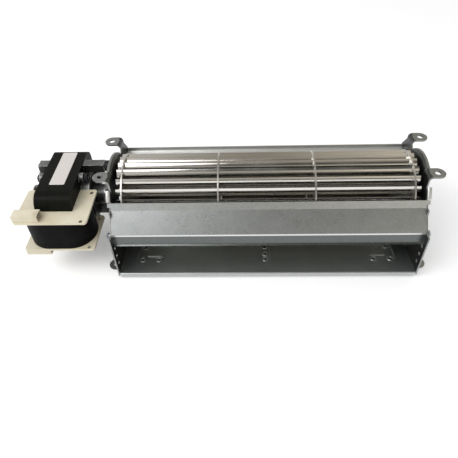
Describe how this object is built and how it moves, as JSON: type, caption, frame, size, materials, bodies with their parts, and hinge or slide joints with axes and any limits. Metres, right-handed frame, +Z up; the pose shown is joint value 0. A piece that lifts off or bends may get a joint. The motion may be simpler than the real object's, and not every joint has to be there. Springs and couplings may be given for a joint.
{
  "type": "cross flow fan",
  "caption": "Tangential blower: a long bladed wheel in a folded steel scroll with mounting ears, driven by a shaded-pole motor on its left end.",
  "frame": {"origin": "centre of the four upper ear holes, on the ears' top face", "axes": "+X along the shaft from the motor to the far bearing, +Y to the back, +Z up"},
  "size_m": [0.2948, 0.0882, 0.0733],
  "materials": {
    "galvanised_sheet": "galvanised steel sheet with a soft spangle",
    "galvanised_plate": "galvanised steel plate",
    "blade_aluminium": "bright rolled aluminium",
    "disc_steel": "bright plated steel",
    "machined_steel": "turned and ground steel",
    "zinc_steel": "bluish zinc plating",
    "die_cast": "raw die casting",
    "lamination_steel": "dark varnished laminations",
    "rotor_steel": "ground rotor laminations",
    "sintered_bronze": "oily sintered bronze",
    "copper": "bare copper",
    "brass_terminal": "tin-flashed brass",
    "coil_tape": "black wrapped tape",
    "bobbin_nylon": "cream moulded nylon",
    "nylon": "natural nylon",
    "black_rubber": "black moulded rubber",
    "label_film": "blank off-white film"
  },
  "bodies": {
    "blower": {"blank_label": "label_film", "coil_bobbin": "bobbin_nylon", "coil_tape": "coil_tape", "coil_winding": "copper", "far_bearing_bush": "sintered_bronze", "far_bearing_retainer": "zinc_steel", "far_bearing_rubber": "black_rubber", "far_end_plate": "galvanised_plate", "grommet_sleeves": "zinc_steel", "inner_bearing_bracket": "die_cast", "inner_bush_clip": "zinc_steel", "inner_motor_bush": "sintered_bronze", "motor_bolt_nuts": "zinc_steel", "motor_end_plate": "galvanised_plate", "motor_grommets": "black_rubber", "motor_mounting_screws": "zinc_steel", "motor_through_bolts": "zinc_steel", "outer_bearing_bracket": "die_cast", "outer_bush_clip": "zinc_steel", "outer_motor_bush": "sintered_bronze", "scroll_housing": "galvanised_sheet", "shading_rings": "copper", "stator_coil_leg": "lamination_steel", "stator_yoke": "lamination_steel", "terminal_blades": "brass_terminal", "tongue_plate": "galvanised_sheet", "tongue_screws": "zinc_steel"},
    "wheel": {"impeller_blades": "blade_aluminium", "motor_end_disc": "disc_steel", "far_end_disc": "disc_steel", "support_ring_left": "disc_steel", "support_ring_right": "disc_steel", "drive_hub": "machined_steel", "far_stub_shaft": "machined_steel", "motor_shaft": "machined_steel", "hub_set_screw": "zinc_steel", "motor_hub_rivets": "machined_steel", "far_hub_rivets": "machined_steel", "rotor": "rotor_steel", "rotor_thrust_washers": "nylon"}
  },
  "joints": [
    {"name": "wheel_spin", "type": "hinge", "parent": "blower", "child": "wheel", "pos_m": [0, -0.00495, -0.029], "axis": [1, 0, 0], "continuous": true}
  ]
}
